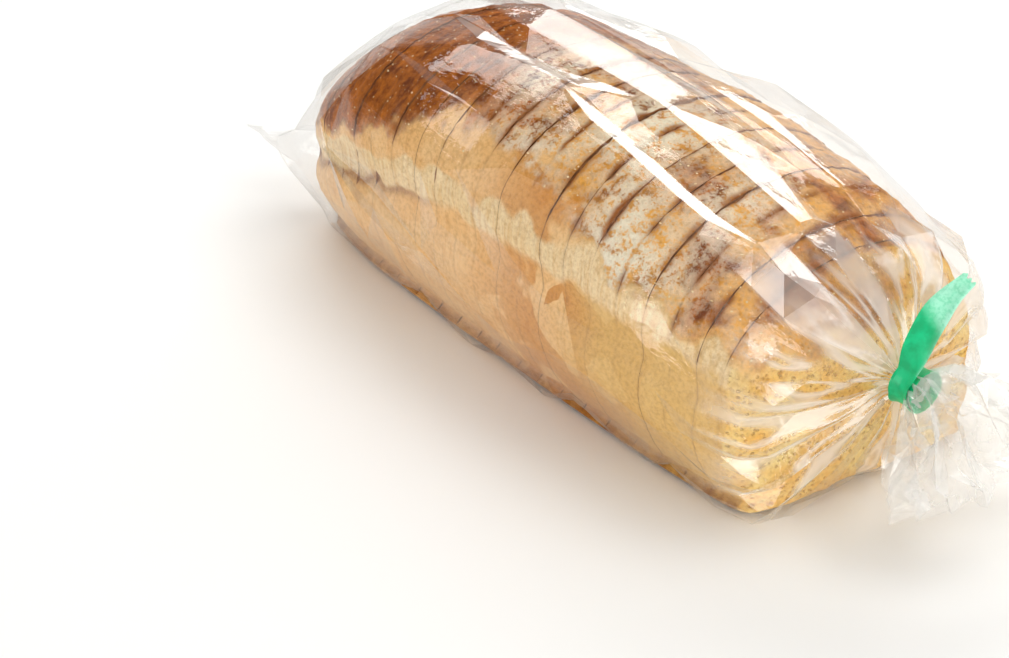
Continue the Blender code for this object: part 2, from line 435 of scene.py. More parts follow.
def makeSlice(name, number, first, last, farHeel, nearHeel, materials):
    rings = sliceRings(first, last, farHeel, nearHeel)
    around = loaf["around"]
    dice = random.Random(loaf["seed"] * 100 + number)
    sway = (dice.uniform(-1, 1) * loaf["sway"], dice.uniform(-0.2, 1) * loaf["sway"])
    leanTop, rise = dice.uniform(-1, 1) * loaf["lean"], dice.uniform(-0.0005, 0.0004)
    pole = endPole if farHeel or nearHeel else loafPole
    xs, shrinks, kinds, depth = (np.repeat([ring[k] for ring in rings], around) for k in range(4))
    points = np.column_stack((xs, np.concatenate([loafRing(ring[0], ring[1], pole) for ring in rings])))
    outward = np.tile(sectionOutward(), (len(rings), 1))
    x, y, z = points.T
    crusty = (kinds != "face").astype(float)
    grains = (noiseAt(points, 0.011, 3.1), noiseAt(points, 0.0035, 7.7), noiseAt(points, 0.03, 1.3),
              noiseAt(points * (1, 1, 0.15), 0.0028, 5.2))
    ragged, small, broad, streaks = grains
    masks = crustMasks(points, kinds, grains)
    dome, shred = masks["dome"], masks["shred"]
    # crust edges curl in at each cut, more so over the dome
    fromCut = np.minimum(np.abs(x - first), np.abs(last - x))
    if farHeel:
        fromCut = np.abs(last - x)
    if nearHeel:
        fromCut = np.abs(x - first)
    curl = np.exp(-(fromCut / loaf["curlWidth"]) ** 2) * crusty
    curlIn = 0.00002 + loaf["curlDepth"] * dome * np.clip(0.4 + 2.2 * ragged, 0, 1.4)
    # the darker rim at each cut: partly crust colour, partly painted shade in the crack
    rim = np.exp(-(fromCut / (loaf["rimWidth"] + 0.0007 * dome * (1 + ragged))) ** 2) * crusty
    rim *= loaf["sideRimAndShade"] * (1 + 2 * ragged) + loaf["domeRimAndShade"] * dome * np.clip(0.5 + 2.4 * ragged, 0.05, 1)
    # the far side crust opens as a groove under the torn band
    overGroove = z - alongTable(tearLine, x) + 0.004 * ragged
    groove = np.exp(-(overGroove / loaf["grooveHalf"]) ** 2) * smoothStep(-0.02, -0.05, x)
    groove *= crusty * (y < 0)
    out = 0.0009 * broad + 0.0004 * small + 0.0002 * streaks * shred + 0.0006 * shred * ragged
    out += dome * (0.0006 * ragged + 0.0004 * small + rise)
    out -= curl * curlIn + loaf["grooveDepth"] * groove
    points[:, 1:] += outward * (out * crusty * smoothStep(0.0, 0.006, z))[:, None]
    toMiddle = np.sign((first + last) / 2 - x)
    shift = (0.0001 + 0.0003 * dome) * small + 0.0003 * dome * toMiddle * (0.6 + 1.5 * ragged)
    points[:, 0] += crusty * curl * shift
    points[:, 0] += leanTop * (z / 0.1) ** 2
    endFace = (kinds == "end") * np.clip((0.9 - shrinks) / 0.1, 0, 1)
    points[:, 0] += endFace * (0.0011 * broad + 0.0007 * ragged + 0.0003 * small) * np.where(x > 0, 1, -1)
    if nearHeel:
        points[:, 0] += loaf["nearSkew"] * y * smoothStep(first + 0.004, loaf["nearEnd"], x)
    if farHeel:
        points[:, 0] += loaf["farLean"] * z * smoothStep(last - 0.002, loaf["farEnd"], x)
    points[:, 1] += sway[0]
    points[:, 2] = np.maximum(points[:, 2] + sway[1] * smoothStep(0, 0.05, z), 0) + loaf["lift"]
    faces, picks = [], []
    for ring in range(len(rings) - 1):
        a, b = ring * around, (ring + 1) * around
        for k in range(around):
            m = (k + 1) % around
            faces.append((a + k, b + k, b + m, a + m))
            picks.append(int(rings[ring][2] == "face" or rings[ring + 1][2] == "face"))
    faces.append(tuple(range(around)))
    faces.append(tuple(reversed(range((len(rings) - 1) * around, len(rings) * around))))
    picks += [int(not farHeel), int(not nearHeel)]
    piece = makePiece(name, points + loafOrigin, faces, materials)
    piece.data.polygons.foreach_set("material_index", picks)
    piece.data.set_sharp_from_angle(angle=math.radians(45))
    # the groove joins the rim mask as painted shade in the groove
    masks["rim"] = np.maximum(rim, 0.7 * groove)
    masks["depth"] = depth
    for key, values in masks.items():
        addMask(piece, key, values)
    return piece


def makeLoaf():
    materials = (makeCrust(), makeCrumb())
    dice = random.Random(loaf["seed"])
    count = loaf["middleSlices"]
    step = (loaf["nearCut"] - loaf["farCut"]) / count
    cuts = [loaf["farCut"] + step * (k + 0.12 * dice.uniform(-1, 1)) for k in range(count + 1)]
    slices = [makeSlice("heelFar", 0, loaf["farEnd"], cuts[0], True, False, materials)]
    for k in range(count):
        slices.append(makeSlice(f"slice{k + 1:02d}", k + 1, cuts[k], cuts[k + 1], False, False, materials))
    slices.append(makeSlice("heelNear", count + 1, cuts[-1], loaf["nearEnd"], False, True, materials))
    return slices


flecks = {
    "perSquareMetre": 26000.0, "size": 0.00042,
    "least": (0.45, 0.35, 0.25), "most": (1.6, 1.1, 0.5),  # shares of the size: long, wide, thick
    "colour": tint(246, 226, 184),
    "seed": 6,
}


def makeFleckMaterial():
    look = Shading("crumbFleck")
    colour = look.mix(look.spread(look.grain(0.002, 3), 0.35, 0.65), flecks["colour"], crumb["shade"])
    shader = look.add("ShaderNodeBsdfPrincipled")
    look.feed(shader.inputs["Base Color"], colour)
    look.feed(shader.inputs["Roughness"], look.spread(look.grain(0.001, 2), 0.3, 0.7, 0.75, 0.95))
    look.feed(shader.inputs["Normal"], look.bump(look.grain(0.0003, 2), 0.0001))
    look.feed(look.output.inputs["Surface"], shader.outputs[0])
    return look.material


def fleckTree(material):
    # scatters flat little chips over a surface, thickest where its dome mask is high
    tree = bpy.data.node_groups.new("scatterFlecks", "GeometryNodeTree")
    for name, kind in (("Surface", "NodeSocketGeometry"), ("Density", "NodeSocketFloat"),
                       ("Size", "NodeSocketFloat"), ("Seed", "NodeSocketInt")):
        tree.interface.new_socket(name, in_out="INPUT", socket_type=kind)
    tree.interface.new_socket("Flecks", in_out="OUTPUT", socket_type="NodeSocketGeometry")
    given, result = tree.nodes.new("NodeGroupInput"), tree.nodes.new("NodeGroupOutput")
    mask = tree.nodes.new("GeometryNodeInputNamedAttribute")
    mask.data_type = "FLOAT"
    mask.inputs["Name"].default_value = "dome"
    thick = tree.nodes.new("ShaderNodeMath")
    thick.operation = "MULTIPLY"
    tree.links.new(mask.outputs["Attribute"], thick.inputs[0])
    tree.links.new(given.outputs["Density"], thick.inputs[1])
    spots = tree.nodes.new("GeometryNodeDistributePointsOnFaces")
    tree.links.new(given.outputs["Surface"], spots.inputs["Mesh"])
    tree.links.new(thick.outputs[0], spots.inputs["Density"])
    tree.links.new(given.outputs["Seed"], spots.inputs["Seed"])
    chip = tree.nodes.new("GeometryNodeMeshIcoSphere")
    chip.inputs["Subdivisions"].default_value = 1
    tree.links.new(given.outputs["Size"], chip.inputs["Radius"])
    vary = tree.nodes.new("FunctionNodeRandomValue")
    vary.data_type = "FLOAT_VECTOR"
    vary.inputs["Min"].default_value = flecks["least"]
    vary.inputs["Max"].default_value = flecks["most"]
    vary.inputs["Seed"].default_value = flecks["seed"]
    place = tree.nodes.new("GeometryNodeInstanceOnPoints")
    tree.links.new(spots.outputs["Points"], place.inputs["Points"])
    tree.links.new(chip.outputs["Mesh"], place.inputs["Instance"])
    tree.links.new(spots.outputs["Rotation"], place.inputs["Rotation"])
    tree.links.new(vary.outputs["Value"], place.inputs["Scale"])
    real = tree.nodes.new("GeometryNodeRealizeInstances")
    tree.links.new(place.outputs["Instances"], real.inputs["Geometry"])
    coat = tree.nodes.new("GeometryNodeSetMaterial")
    coat.inputs["Material"].default_value = material
    tree.links.new(real.outputs["Geometry"], coat.inputs["Geometry"])
    tree.links.new(coat.outputs["Geometry"], result.inputs["Flecks"])
    return tree


def makeFlecks(slices, material):
    points, faces, domes = [], [], []
    for piece in slices:
        mesh = piece.data
        dome = np.zeros(len(mesh.vertices), np.float32)
        mesh.attributes["dome"].data.foreach_get("value", dome)
        start = len(points)
        points += [tuple(vertex.co) for vertex in mesh.vertices]
        domes += list(dome)
        faces += [[start + k for k in face.vertices] for face in mesh.polygons
                  if face.material_index == 0 and min(dome[k] for k in face.vertices) > 0.3]
    carrier = makePiece("crustFlecks", points, faces, (material,))
    addMask(carrier, "dome", domes)
    tree = fleckTree(material)
    scatter = carrier.modifiers.new("scatter", "NODES")
    scatter.node_group = tree
    values = {"Density": flecks["perSquareMetre"], "Size": flecks["size"], "Seed": flecks["seed"]}
    for item in tree.interface.items_tree:
        if item.name in values:
            scatter[item.identifier] = values[item.name]
    view = bpy.context.evaluated_depsgraph_get()
    carrier.data = bpy.data.meshes.new_from_object(carrier.evaluated_get(view))
    carrier.modifiers.clear()
    carrier.data.name = "crustFlecks"
    print("flecks:", len(carrier.data.polygons), "faces")
    return carrier


film = {
    "outline": [(-47, 0), (-57.5, 14), (-65.5, 36), (-65.5, 62), (-60, 84), (-47, 99), (-27, 107.5),
                (0, 110), (22, 107.5), (39, 101), (52.5, 90), (62, 76), (66.5, 58), (66.5, 34),
                (61.5, 14), (54, 0)],  # mm
    "taper": [(-0.124, 0.83, 0.64), (-0.112, 0.89, 0.755), (-0.100, 0.93, 0.84), (-0.082, 0.965, 0.92),
              (-0.058, 0.985, 0.97), (-0.028, 1, 0.99), (0.040, 1, 1), (0.072, 0.995, 0.965),
              (0.094, 0.98, 0.92), (0.111, 0.95, 0.865), (0.123, 0.92, 0.82), (0.132, 0.90, 0.785)],
    "farEnd": -0.124, "nearEnd": 0.130,
    "weldAt": -0.142, "weldHeight": 0.024, "weldHalfWidth": 0.048, "earLength": 0.032,
    "neckAt": 0.150, "neckMiddle": (-0.0035, 0.0545), "neckRadius": 0.0046, "neckLength": 0.007,
    "around": 288, "weldRings": 15, "bodyRings": 60, "gatherRings": 20, "neckRings": 3,
    "seamShare": 0.874, "girth": 0.42,  # the seam runs along the middle of the base
    "facetLong": 0.027, "facetRound": 0.020,
    "slack": 0.0040, "least": 0.0004,  # how far a facet's corners stand off the loaf
    "curved": 0.35,  # 0 for flat facets, 1 for facets that follow the loaf
    "shineLifts": (0.0006, 0.0075, 70),  # lowest, highest, how many are tried
    "cuts": 9,
    "pleatStart": 0.112, "pleats": 19, "pleatHeight": 0.0056,
    "doubledPleats": 0.55, "doubledFrom": 0.43, "doubledTo": 0.68,
    "wrinkle": 0.00018,
    "sharpAngle": 9,
    "seed": 9,
}


def filmBody(x):
    outline = closedCurve(film["outline"], film["around"]) / 1000
    outline[:, 1] = np.maximum(outline[:, 1], 0)
    shape = outline * (alongTable(film["taper"], x), alongTable(film["taper"], x, 2))
    turned = np.roll(shape, -int(film["seamShare"] * film["around"]), 0)
    return np.column_stack((np.full(film["around"], x), turned))


def filmRings():
    # rings from the flat weld, along the loaf, over the heel and into the neck
    share = np.arange(film["around"]) / film["around"]
    across = -np.interp(share, (0, 0.25, 0.5, 0.75, 1), (0, 1, 0, -1, 0))
    weldX = film["weldAt"] - film["earLength"] * np.abs(across) ** 2.2
    weld = np.column_stack((weldX, across * film["weldHalfWidth"], np.full(len(share), film["weldHeight"])))
    far = filmBody(film["farEnd"])
    rings = []
    for k in range(film["weldRings"]):
        mix = k / (film["weldRings"] - 1)
        bend = mix ** 0.75
        ring = weld * (1 - mix) + far * mix
        ring[:, 1] = weld[:, 1] * (1 - bend) + far[:, 1] * bend
        opening = smoothStep(0.0, 1.0, mix)
        ring[:, 2] = weld[:, 2] * (1 - opening) + far[:, 2] * opening
        rings.append(ring)
    for x in np.linspace(film["farEnd"], film["nearEnd"], film["bodyRings"] + 1)[1:]:
        rings.append(filmBody(x))
    near = rings[-1]
    middle = np.array(film["neckMiddle"])
    angle = np.arctan2(near[:, 2] - middle[1], near[:, 1] - middle[0])
    neck = middle + film["neckRadius"] * np.column_stack((np.cos(angle), np.sin(angle)))
    for k in range(1, film["gatherRings"] + 1):
        mix = k / film["gatherRings"]
        shrink = 1 - mix
        forward = math.sin(mix * math.pi / 2) ** 0.55
        x = near[:, 0] + (film["neckAt"] - film["nearEnd"]) * forward * (0.62 + 0.38 * mix ** 1.5)
        flat = near[:, 1:] * shrink ** 0.8 + neck * (1 - shrink ** 0.8)
        rings.append(np.column_stack((x, flat)))
    for k in range(1, film["neckRings"] + 1):
        x = np.full(film["around"], film["neckAt"] + film["neckLength"] * k / film["neckRings"])
        rings.append(np.column_stack((x, neck)))
    return np.array(rings)


class FilmSurface:
    # the bag's smooth shape, read by place along (metres) and share round the girth

    def __init__(self):
        self.rings = filmRings()
        count = film["around"]
        top = self.rings[:, count // 2]
        steps = np.linalg.norm(np.diff(top, axis=0), axis=1)
        self.along = np.concatenate(([0], np.cumsum(np.maximum(steps, 0.0012))))
        self.length = self.along[-1]
        across = np.roll(self.rings, -1, 1) - np.roll(self.rings, 1, 1)
        forward = np.gradient(self.rings, axis=0)
        normals = np.cross(forward, across)
        normals /= np.linalg.norm(normals, axis=2, keepdims=True) + 1e-9
        middle = self.rings.mean(1, keepdims=True)
        self.normals = normals * np.sign(((self.rings - middle) * normals).sum(2).mean())

    def read(self, table, along, turn):
        row = np.interp(along, self.along, np.arange(len(self.along)))
        low = np.clip(row.astype(int), 0, len(self.along) - 2)
        rowShare = (row - low)[:, None]
        column = (turn % 1) * film["around"]
        left = column.astype(int) % film["around"]
        right = (left + 1) % film["around"]
        share = (column - column.astype(int))[:, None]
        near = table[low, left] * (1 - share) + table[low, right] * share
        far = table[low + 1, left] * (1 - share) + table[low + 1, right] * share
        return near * (1 - rowShare) + far * rowShare

    def place(self, along, turn, out):
        along, turn, out = np.broadcast_arrays(*(np.atleast_1d(value) for value in (along, turn, out)))
        return self.read(self.rings, along, turn) + self.read(self.normals, along, turn) * out[:, None]

    def atX(self, x):
        # place along the bag where the top line passes x
        return float(np.interp(x, self.rings[:, film["around"] // 2, 0], self.along))


# long creases in the film from far to near: (place along, share round the girth), the stand-off in mm
# of the foot in front and of the rear edge, the width of the flat strip as a share of the girth, and
# how much the film is doubled there, which also sets its painted white glare
creases = [
    ([(-0.076, 0.480), (-0.052, 0.466), (-0.027, 0.463), (-0.006, 0.466), (0.010, 0.476), (0.024, 0.485)],
     0.8, 1.5, 0.0115, 0.9),
    ([(0.002, 0.456), (0.023, 0.445), (0.055, 0.4345), (0.073, 0.4300), (0.088, 0.4300), (0.104, 0.441)],
     0.8, 1.6, 0.0120, 0.8),
    ([(-0.095, 0.300), (-0.061, 0.275), (-0.030, 0.251)], 0.8, 1.0, 0.0100, 0.3),
    ([(-0.050, 0.562), (0.010, 0.560), (0.060, 0.556), (0.100, 0.552)], 1.0, 1.2, 0.0120, 0.6),
    ([(-0.080, 0.415), (-0.050, 0.402), (-0.030, 0.398)], 0.8, 1.2, 0.0100, 0.3),
]
footWidth = 0.010  # share of the girth that the front foot of a crease takes
endWidth = 0.25  # how wide the strip still is at its two ends
# the flat plank of film along the top, between two straight edges
plank = {
    # place along, front edge and back edge as shares round the girth
    "spots": [(-0.066, 0.500, 0.510), (-0.036, 0.491, 0.519), (0.003, 0.489, 0.518), (0.036, 0.486, 0.514),
              (0.063, 0.481, 0.511), (0.088, 0.478, 0.506), (0.107, 0.480, 0.496)],
    # the last value is the plank's doubled share, which also sets its painted white glare
    "standOff": 4.2, "foot": 0.7, "footGap": 0.022, "foldAndGlare": 0.46,  # mm, mm, share, share
    "clearFrom": -0.070, "clearTo": 0.108,  # no loose corners between these places along
}


class FacetPlan:
    # corner points, fixed creases and stand-off of the flat facets, on the unrolled film

    def __init__(self, surface):
        self.surface = surface
        self.dice = random.Random(film["seed"])
        self.corners, self.outs, self.lines = [], [], []
        self.ridgeSpots, self.pleatTurns = [], []
        self.pleatFrom = surface.atX(film["pleatStart"])
        self.addSeams()
        for crease in creases:
            self.addCrease(*crease)
        self.addPlank()
        for k in range(film["pleats"] * 2):
            self.addPleat(k)
        self.addLooseCorners()

    def add(self, along, turn, out):
        self.corners.append(Vector((along, turn * film["girth"])))
        self.outs.append(out)
        return len(self.corners) - 1

    def addRidge(self, along, turn, out):
        self.ridgeSpots.append((along, turn * film["girth"]))
        return self.add(along, turn, out)

    def join(self, ends):
        self.lines += list(zip(ends, ends[1:]))

    def addSeams(self):
        # the cut along the base, and the rings at the weld and in the neck
        length = self.surface.length
        for turn in (0, 1):
            self.join([self.add(length * k / 24, turn, 0) for k in range(25)])
        for along in (0, length):
            self.join([self.add(along, k / 48, 0) for k in range(1, 48)])

    def shineOut(self, along, fixed, fixedOut, free):
        # stand-off that turns the strip between two edges to mirror the long middle of the back softbox
        boxMiddle, boxTurn = softboxPlace("backBox")
        boxUp, boxOut = (np.array(boxTurn @ Vector(axis)) for axis in ((0, 1, 0), (0, 0, 1)))
        lifts = np.linspace(*film["shineLifts"])
        still, ahead = self.surface.place((along, along + 0.004), fixed, fixedOut) + loafOrigin
        moving = self.surface.place(along, free, lifts) + loafOrigin
        facing = np.cross(ahead - still, moving - still)
        facing /= np.linalg.norm(facing, axis=1, keepdims=True)
        sight = still - np.array(studio["cameraAt"])
        mirrored = sight - 2 * (facing @ sight)[:, None] * facing
        reach = ((np.array(boxMiddle) - still) @ boxOut) / (mirrored @ boxOut)
        miss = np.abs((still + mirrored * reach[:, None] - np.array(boxMiddle)) @ boxUp)
        return lifts[int(np.argmin(np.where(reach > 0, miss, 100)))]

    def addCrease(self, spots, foot, rear, wide, _):
        strip = {"foot": [], "crest": [], "rear": []}
        for k, (x, turn) in enumerate(spots):
            along = self.surface.atX(x)
            share = endWidth if k in (0, len(spots) - 1) else 1
            half = 0.5 * wide * share
            crestOut = self.shineOut(along, turn + half, rear / 1000, turn - half)
            edges = {"foot": (-half - footWidth * share, foot / 1000), "crest": (-half, crestOut),
                     "rear": (half, rear / 1000)}
            for name, (shift, out) in edges.items():
                strip[name].append(self.addRidge(along, turn + shift, out))
        for ends in strip.values():
            self.join(ends)

    def addPlank(self):
        rows = [[], [], [], []]
        high, low = plank["standOff"] / 1000, plank["foot"] / 1000
        for k, (x, front, back) in enumerate(plank["spots"]):
            along = self.surface.atX(x)
            drop = plank["footGap"] * (0.4 if k in (0, len(plank["spots"]) - 1) else 1)
            backOut = self.shineOut(along, front, high, back)
            edges = ((front - drop, low), (front, high), (back, backOut), (back + drop, low))
            for row, (turn, out) in zip(rows, edges):
                row.append(self.addRidge(along, turn, out))
        for row in rows:
            self.join(row)

    def addPleat(self, k):
        # one crest or valley that runs over the near heel into the neck
        dice, count = self.dice, film["pleats"] * 2
        turn = (k + 0.5 + dice.uniform(-0.3, 0.3)) / count
        self.pleatTurns.append(turn)
        crest = k % 2 == 0
        reach = dice.uniform(0.0, 0.026) if crest else dice.uniform(0, 0.012)
        start = self.pleatFrom + 0.006 - reach
        neckFrom = self.surface.atX(film["neckAt"] - 0.0005)
        ends = []
        for share in (0, 0.3, 0.6, 0.85, 1.0):
            height = (film["pleatHeight"] if crest else -0.0010) * math.sin(math.pi * min(share, 0.82) ** 0.8)
            height *= dice.uniform(0.5, 1.2)
            if share == 1.0:
                height = 0.0006 if crest else -0.0009
            shift = dice.uniform(-0.003, 0.003) * (share < 0.9)
            ends.append(self.add(start + (neckFrom - start) * share, turn + shift, height))
        ends.append(self.add(self.surface.length - 0.0015, turn, 0.0004 if crest else -0.0006))
        self.join(ends)

    def addLooseCorners(self):
        # scattered corners over the rest, clear of the ridges, closer to the loaf near its base
        dice, girth = self.dice, film["girth"]
        rows = int((self.pleatFrom - 0.012) / film["facetLong"]) + 1
        columns = int(girth / film["facetRound"])
        clearFrom, clearTo = (self.surface.atX(plank[key]) for key in ("clearFrom", "clearTo"))
        for row in range(rows):
            for column in range(columns):
                along = 0.012 + row * film["facetLong"] + dice.uniform(-0.42, 0.42) * film["facetLong"]
                turn = (column + 0.5 * (row % 2) + 0.25 + dice.uniform(-0.38, 0.38)) / columns
                if not 0.02 < turn < 0.98 or not 0.006 < along < self.pleatFrom - 0.004:
                    continue
                if 0.470 < turn < 0.535 and clearFrom < along < clearTo:
                    continue
                if any(abs(along - a) < 0.015 and abs(turn * girth - b) < 0.0075 for a, b in self.ridgeSpots):
                    continue
                spot = self.surface.place(along, turn, 0)[0]
                loose = min(1, max(0, (spot[2] - 0.003) / 0.045)) * min(1, along / 0.03)
                self.add(along, turn, film["least"] + film["slack"] * dice.random() ** 1.3 * loose)


def betweenEnds(along, ends):
    # 1 between the two ends of a fold, fading out over 6 mm
    return smoothStep(ends[0], ends[0] + 0.006, along) * smoothStep(ends[-1], ends[-1] - 0.006, along)


def foldAndGlareShare(surface, along, turn):
    # how much each spot belongs to a doubled fold of the film, the strips and the plank: this share raises
    # the mirror share and adds a painted white glare
    foldAndGlare = np.zeros(len(along))
    for spots, _, _, wide, strength in creases:
        ends = [surface.atX(x) for x, _ in spots]
        middle = np.interp(along, ends, [share for _, share in spots])
        half = np.interp(along, ends, [0.12 * wide] + [0.5 * wide] * (len(spots) - 2) + [0.12 * wide])
        inside = smoothStep(1.05, 0.75, np.abs(turn - middle) / half)
        foldAndGlare = np.maximum(foldAndGlare, strength * inside * betweenEnds(along, ends))
    ends = [surface.atX(x) for x, _, _ in plank["spots"]]
    front, back = (np.interp(along, ends, [spot[k] for spot in plank["spots"]]) for k in (1, 2))
    middle, half = (front + back) / 2, (back - front) / 2
    inside = smoothStep(1.06, 0.90, np.abs(turn - middle) / half)
    return np.maximum(foldAndGlare, plank["foldAndGlare"] * inside * betweenEnds(along, ends))


def fineFacets(triangles, cuts, place):
    # cuts each flat facet into small triangles; place gives the points for corner shares and a facet
    order, shares = {}, []
    for i in range(cuts + 1):
        for j in range(cuts + 1 - i):
            order[i, j] = len(shares)
            shares.append(((cuts - i - j) / cuts, i / cuts, j / cuts))
    shares = np.array(shares)
    pattern = []
    for i in range(cuts):
        for j in range(cuts - i):
            pattern.append((order[i, j], order[i, j + 1], order[i + 1, j]))
            if i + j < cuts - 1:
                pattern.append((order[i + 1, j], order[i, j + 1], order[i + 1, j + 1]))
    blocks, faces = [], []
    for number, picked in enumerate(triangles):
        start = number * len(shares)
        blocks.append(place(shares, picked))
        faces += [(start + a, start + b, start + c) for a, b, c in pattern]
    return np.concatenate(blocks), faces


def weldFilm(piece, sharpAngle):
    # joins the facets into one sheet, turns it outwards and keeps the creases crisp
    shape = bmesh.new()
    shape.from_mesh(piece.data)
    bmesh.ops.remove_doubles(shape, verts=shape.verts, dist=0.00002)
    bmesh.ops.dissolve_degenerate(shape, dist=0.00002, edges=shape.edges)
    bmesh.ops.recalc_face_normals(shape, faces=shape.faces)
    shape.to_mesh(piece.data)
    shape.free()
    piece.data.shade_smooth()
    piece.data.set_sharp_from_angle(angle=math.radians(sharpAngle))


def gatherHazeAndGlareMask(points):
    # white rays where the film is gathered, fanning out from the neck: partly haze of layered film, partly
    # painted highlight on the folds
    toNeck = points[:, 1:] - np.array(film["neckMiddle"])
    angle = np.arctan2(toNeck[:, 1], toNeck[:, 0])
    fan = np.column_stack((np.cos(angle), np.sin(angle), 0.25 * np.linalg.norm(toNeck, axis=1) / 0.05))
    rays = 1 - np.abs(noiseAt(fan, 0.12, 3.3)) * 4.2
    rays = np.clip(rays, 0, 1) * np.clip(0.6 + 1.8 * noiseAt(fan, 0.40, 1.1), 0, 1)
    return np.clip(smoothStep(0.104, 0.148, points[:, 0]) * (0.03 + 1.6 * rays), 0, 1)


def foldAndGlareMask(surface, plan, points, unrolled):
    # the strips and the plank, some pleats that run double into the neck, and the weld: doubled film, which
    # the material also whitens as a painted glare
    turn = unrolled[:, 1] / film["girth"]
    foldAndGlare = foldAndGlareShare(surface, unrolled[:, 0], turn)
    dice = random.Random(film["seed"] + 1)
    doubled = []
    for pleatTurn in plan.pleatTurns + [1]:
        chosen = dice.random() < film["doubledPleats"]
        doubled.append(chosen and film["doubledFrom"] < pleatTurn < film["doubledTo"])
    intoNeck = np.array(doubled)[np.searchsorted(plan.pleatTurns, turn)]
    foldAndGlare = np.maximum(foldAndGlare, 0.9 * intoNeck * smoothStep(0.106, 0.116, points[:, 0]))
    return np.maximum(foldAndGlare, 0.30 * smoothStep(-0.120, -0.138, points[:, 0]))


def makeFilm(material):
    surface = FilmSurface()
    plan = FacetPlan(surface)
    flat, _, triangles = delaunay_2d_cdt(plan.corners, plan.lines, [], 0, 1e-6)[:3]
    triangles = [list(triangle) for triangle in triangles]
    spots = np.array([tuple(corner) for corner in flat])
    # where lines cross, a new corner appears: it takes the stand-off of the nearest given corner
    given = np.array([tuple(corner) for corner in plan.corners])
    stand = np.array([plan.outs[int(np.argmin(((given - spot) ** 2).sum(1)))] for spot in spots])
    along, turn = spots[:, 0], spots[:, 1] / film["girth"]
    solid = surface.place(along, turn, stand)

    def facetPoints(share, picked):
        curvedOver = surface.place(share @ along[picked], share @ turn[picked], share @ stand[picked])
        return share @ solid[picked] * (1 - film["curved"]) + curvedOver * film["curved"]

    points, faces = fineFacets(triangles, film["cuts"], facetPoints)
    unrolled = fineFacets(triangles, film["cuts"], lambda share, picked: share @ spots[picked])[0]
    foldAndGlare = foldAndGlareMask(surface, plan, points, unrolled)
    rub = noiseAt(points * (0.35, 1, 1), 0.006, 2.2)
    tug = noiseAt(points * (1, 0.6, 0.6), 0.013, 6.1)
    bulge = points - (points[:, 0].mean(), 0, 0.05)
    bulge[:, 0] = 0
    bulge /= np.linalg.norm(bulge, axis=1, keepdims=True) + 1e-9
    points += bulge * ((rub + 0.9 * tug) * film["wrinkle"] * smoothStep(0.002, 0.02, points[:, 2]))[:, None]
    points[:, 2] = np.maximum(points[:, 2], 0.0002)
    piece = makePiece("bagFilm", points + loafOrigin, faces, (material,))
    addMask(piece, "gatherHazeAndGlare", gatherHazeAndGlareMask(points))
    addMask(piece, "doubledFoldAndGlare", foldAndGlare)
    weldFilm(piece, film["sharpAngle"])
    print("bag film:", len(triangles), "facets,", len(piece.data.polygons), "faces")
    return piece


filmFinish = {
    "tint": (0.997, 0.995, 0.99, 1),
    "clear": (0.030, 0.05, 0.006),  # roughness, mirror share straight on, milky share
    "crumpled": (0.03, 0.10, 0.20),
    # milk on gathers and folds: partly haze of doubled film, partly painted white glare
    "gatherHazeAndPaintedGlare": 0.6, "gatherShine": 0.6,
    "foldHazeAndPaintedGlare": 0.33, "foldShine": 0.27,
}


def makeFilmMaterial(name, roughness, straightOn, milk):
    look = Shading(name)
    facing = look.add("ShaderNodeLayerWeight")
    facing.inputs["Blend"].default_value = 0.5
    ripple = look.grain(0.0022, 3, 0.5, (0.5, 1, 1))
    scuff = look.grain(0.02, 4)
    relief = look.bump(ripple, 0.00012)
    look.feed(facing.inputs["Normal"], relief)
    rise = look.maths("POWER", facing.outputs["Facing"], 3.5)
    share = look.plus(look.times(rise, 1 - straightOn), straightOn)
    doubled = look.plus(look.mask("doubledFoldAndGlare"), look.times(look.mask("gatherHazeAndGlare"), filmFinish["gatherShine"]))
    share = look.maths("MINIMUM", look.plus(share, look.times(doubled, filmFinish["foldShine"])), 0.9)
    clear = look.add("ShaderNodeBsdfTransparent")
    clear.inputs["Color"].default_value = filmFinish["tint"]
    shine = look.add("ShaderNodeBsdfGlossy")
    look.feed(shine.inputs["Roughness"], look.spread(scuff, 0.35, 0.65, roughness * 0.6, roughness * 1.6))
    look.feed(shine.inputs["Normal"], relief)
    both = look.add("ShaderNodeMixShader")
    look.feed(both.inputs[0], share)
    look.feed(both.inputs[1], clear.outputs[0])
    look.feed(both.inputs[2], shine.outputs[0])
    white = look.add("ShaderNodeBsdfTranslucent")
    white.inputs["Color"].default_value = (1, 1, 1, 1)
    chalk = look.add("ShaderNodeBsdfDiffuse")
    chalk.inputs["Color"].default_value = (1, 1, 1, 1)
    haze = look.add("ShaderNodeMixShader")
    haze.inputs[0].default_value = 0.5
    look.feed(haze.inputs[1], white.outputs[0])
    look.feed(haze.inputs[2], chalk.outputs[0])
    misty = look.add("ShaderNodeMixShader")
    # white milk over the folds and gathers: partly haze of doubled film, partly painted highlight
    hazeAndPaintedGlare = look.times(look.mask("gatherHazeAndGlare"), filmFinish["gatherHazeAndPaintedGlare"])
    hazeAndPaintedGlare = look.plus(hazeAndPaintedGlare, look.times(look.mask("doubledFoldAndGlare"), filmFinish["foldHazeAndPaintedGlare"]))
    look.feed(misty.inputs[0], look.plus(look.spread(scuff, 0.3, 0.7, milk * 0.5, milk * 1.5), hazeAndPaintedGlare))
    look.feed(misty.inputs[1], both.outputs[0])
    look.feed(misty.inputs[2], haze.outputs[0])
    look.feed(look.output.inputs["Surface"], misty.outputs[0])
    return look.material


frill = {
    "start": (0.1565, -0.0035, 0.0545),
    "length": 0.042, "droop": 60, "roll": 14, "sidestep": 0.014,
    "startRadius": 0.0056,
    "halfWidth": 0.034, "halfThick": 0.013,
    "folds": 15, "foldDepth": 0.50, "rows": 7,
    "crumple": 0.0022, "wrinkle": 0.0004,
    "cuts": 7,
    "seed": 5,
}


